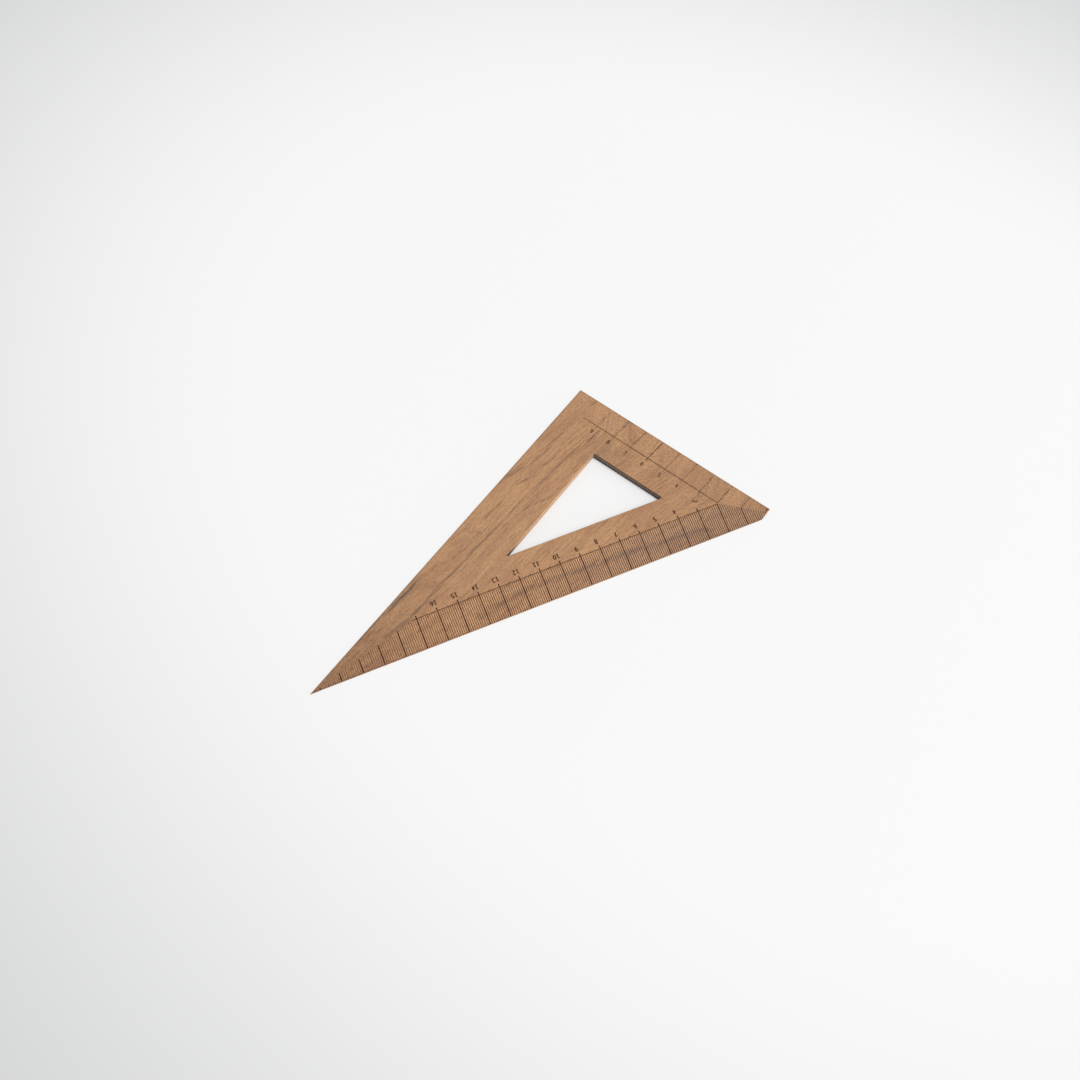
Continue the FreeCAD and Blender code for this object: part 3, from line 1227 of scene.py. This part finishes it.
def shared_numeral(marks, material):
    """The 3 that serves both scales, on the line that halves the 60 degree corner."""
    towards_tip = np.array([-math.sin(TIP_HALF_ANGLE), math.cos(TIP_HALF_ANGLE)])
    corner = np.array([0.0, SHORT_LEG])
    height = marks.numeral_height
    base = corner - towards_tip * (SHARED_NUMERAL_PLACE + height / 2)
    labels = [("3", base, towards_tip)]
    return stamp("shared_numeral", labels, height, material, SHARED_NUMERAL_BURN)


# The stage


def away_from_wall(tree, place):
    """0 on the floor at the foot of the window's short wall, 1 elsewhere.

    The strip runs along that wall. Its ends lie under the board.
    """
    x, y, _ = separate(tree, place)
    beside = maths(tree, "ABSOLUTE", maths(tree, "SUBTRACT", x, SHORT_LIMB))
    away = smooth_step(tree, beside, 0.0, STRIP_HALF_WIDTH, "away from the wall")
    before = maths(tree, "LESS_THAN", y, 0.0)
    past = maths(tree, "GREATER_THAN", y, STRIP_END)
    return combined(tree, "MAXIMUM", [away, past, before])


def floor_material(studio):
    """A pale floor with a painted pool of light, its colour a little darker away from the board.

    The camera sees a share of its brightness as a glow that takes no shadow, so that the
    shadow stays but is faint. The rest is lit by the dome and the lamps.
    """
    material, tree, shader = principled("floor")
    place = add_node(tree, "ShaderNodeTexCoord").outputs["Object"]
    shape = {"Vector": place, "Location": POOL_MIDDLE, "Scale": POOL_SHAPE}
    pool = add_node(tree, "ShaderNodeMapping", "pool", shape, vector_type="TEXTURE")
    radius = vector_value(tree, "DISTANCE", pool.outputs[0], (0.0, 0.0, 0.0), "radius")
    share = smooth_step(tree, radius, *POOL_RIM)
    colour = mix_colours(tree, share, rgba(studio.floor), rgba(studio.floor_far), "falloff")

    path = add_node(tree, "ShaderNodeLightPath").outputs
    rays = [path["Is Camera Ray"], path["Is Glossy Ray"], path["Is Transmission Ray"]]
    seen = combined(tree, "MAXIMUM", rays)
    open_floor = away_from_wall(tree, place)
    glow = combined(tree, "MULTIPLY", [seen, studio.floor_glow, open_floor])
    look = {
        "Base Color": mix_colours(tree, glow, colour, rgba(BLACK), "lit part"),
        "Emission Color": colour,
        "Emission Strength": glow,
        "Roughness": FLOOR_ROUGHNESS,
        "Specular IOR Level": 0.0,
    }
    fill_inputs(tree, shader, look)
    return material


def lay_floor(studio):
    """A plain pale floor, a hair under the board so that no two faces coincide."""
    corners = np.array([[-1, -1, 0], [1, -1, 0], [1, 1, 0], [-1, 1, 0]]) * FLOOR_HALF
    corners[:, 2] = -FLOOR_GAP
    mesh = bpy.data.meshes.new("floor")
    mesh.from_pydata(corners, [], [(0, 1, 2, 3)])
    mesh.materials.append(floor_material(studio))
    floor = bpy.data.objects.new("floor", mesh)
    bpy.context.scene.collection.objects.link(floor)


def light_studio(studio):
    """An even dome of light, a large soft lamp high up and a low one below it."""
    world = bpy.data.worlds.new("studio")
    world.use_nodes = True
    tree = world.node_tree
    look = {"Color": rgba(WHITE), "Strength": studio.dome}
    fill_inputs(tree, tree.nodes["Background"], look)
    bpy.context.scene.world = world
    hang_lamp("soft_box", SOFT_BOX_PLACE, SOFT_BOX_SIZE, studio.softbox)
    hang_lamp("side_panel", SIDE_PANEL_PLACE, SIDE_PANEL_SIZE, studio.side_panel)


def hang_lamp(name, place, size, power):
    """A rectangular lamp that faces the board."""
    lamp = bpy.data.lights.new(name, "AREA")
    lamp.shape = "RECTANGLE"
    lamp.size, lamp.size_y = size
    lamp.energy = power
    holder = bpy.data.objects.new(name, lamp)
    holder.location = place
    sight = Vector(LAMP_AIM) - holder.location
    holder.rotation_euler = sight.to_track_quat("-Z", "Y").to_euler()
    bpy.context.scene.collection.objects.link(holder)


def place_camera(studio):
    """The view from the eye to the aim, with a little roll."""
    data = bpy.data.cameras.new("camera")
    data.lens = studio.lens
    camera = bpy.data.objects.new("camera", data)
    sight = Vector(studio.aim) - Vector(studio.eye)
    level = sight.to_track_quat("-Z", "Y").to_matrix().to_4x4()
    roll = Matrix.Rotation(studio.roll, 4, "Z")
    camera.matrix_world = Matrix.Translation(Vector(studio.eye)) @ level @ roll
    bpy.context.scene.collection.objects.link(camera)
    bpy.context.scene.camera = camera


# Operators


class SETSQUARE_OT_finish_board(bpy.types.Operator):
    """Gives the board its oiled wood"""

    bl_idname = "set_square.finish_board"
    bl_label = "Finish the board"

    def execute(self, context):
        growth_line_group()
        grain_group(context.scene.board_finish)
        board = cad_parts[BOARD]
        board.data.materials.clear()
        board.data.materials.append(wood_material())
        return {"FINISHED"}


class SETSQUARE_OT_mark_slant_scale(bpy.types.Operator):
    """Burns the long scale into the slanted margin"""

    bl_idname = "set_square.mark_slant_scale"
    bl_label = "Mark the slanted scale"

    def execute(self, context):
        marks = context.scene.scale_marks
        margin = SlantMargin(marks)
        deep = burnt_material("burnt_deep", marks)
        fine = burnt_material("burnt_fine", marks)
        scale_lines(margin, marks, deep, fine, slant_strengths(margin.last_mm))
        ridge_line(margin, marks, deep)
        scale_numerals(margin, marks, deep, SLANT_NUMERAL_BURN)
        return {"FINISHED"}


class SETSQUARE_OT_mark_short_scale(bpy.types.Operator):
    """Burns the short scale into the short leg's margin"""

    bl_idname = "set_square.mark_short_scale"
    bl_label = "Mark the short scale"

    def execute(self, context):
        marks = context.scene.scale_marks
        margin = ShortMargin(marks)
        deep = burnt_material("burnt_deep", marks)
        patchy = burnt_material("burnt_patchy", marks)
        faint = burnt_material("burnt_faint", marks)
        scale_lines(margin, marks, patchy, faint, short_strengths(margin.last_mm))
        ridge_line(margin, marks, deep)
        scale_numerals(margin, marks, deep, SHORT_NUMERAL_BURN)
        shared_numeral(marks, deep)
        return {"FINISHED"}


class SETSQUARE_OT_set_stage(bpy.types.Operator):
    """Lays the floor, hangs the soft light and places the camera"""

    bl_idname = "set_square.set_stage"
    bl_label = "Set the stage"

    def execute(self, context):
        studio = context.scene.studio_setup
        lay_floor(studio)
        light_studio(studio)
        place_camera(studio)
        context.scene.view_settings.view_transform = "Standard"
        return {"FINISHED"}


class SETSQUARE_PT_panel(bpy.types.Panel):
    """Lists the steps that make the set square"""

    bl_idname = "SETSQUARE_PT_panel"
    bl_label = "Set square"
    bl_space_type = "VIEW_3D"
    bl_region_type = "UI"
    bl_category = "Set square"

    def draw(self, context):
        layout = self.layout
        for group_name in ("board_finish", "scale_marks", "studio_setup"):
            group = getattr(context.scene, group_name)
            box = layout.box()
            for name in group.__annotations__:
                box.prop(group, name)
        for step in STEPS:
            layout.operator(step.bl_idname)


STEPS = (
    SETSQUARE_OT_finish_board,
    SETSQUARE_OT_mark_slant_scale,
    SETSQUARE_OT_mark_short_scale,
    SETSQUARE_OT_set_stage,
)
GROUPS = {
    "board_finish": BoardFinish,
    "scale_marks": ScaleMarks,
    "studio_setup": StudioSetup,
}


def register():
    """Makes the property groups, the steps and the panel known."""
    for name, group in GROUPS.items():
        bpy.utils.register_class(group)
        setattr(bpy.types.Scene, name, bpy.props.PointerProperty(type=group))
    for step in STEPS:
        bpy.utils.register_class(step)
    bpy.utils.register_class(SETSQUARE_PT_panel)


def unregister():
    """Takes them out again, in the opposite order."""
    bpy.utils.unregister_class(SETSQUARE_PT_panel)
    for step in reversed(STEPS):
        bpy.utils.unregister_class(step)
    for name, group in reversed(GROUPS.items()):
        delattr(bpy.types.Scene, name)
        bpy.utils.unregister_class(group)


def main():
    """Runs every step in order."""
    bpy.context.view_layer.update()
    register()
    bpy.ops.set_square.finish_board()
    bpy.ops.set_square.mark_slant_scale()
    bpy.ops.set_square.mark_short_scale()
    bpy.ops.set_square.set_stage()


if __name__ == "__main__":
    main()
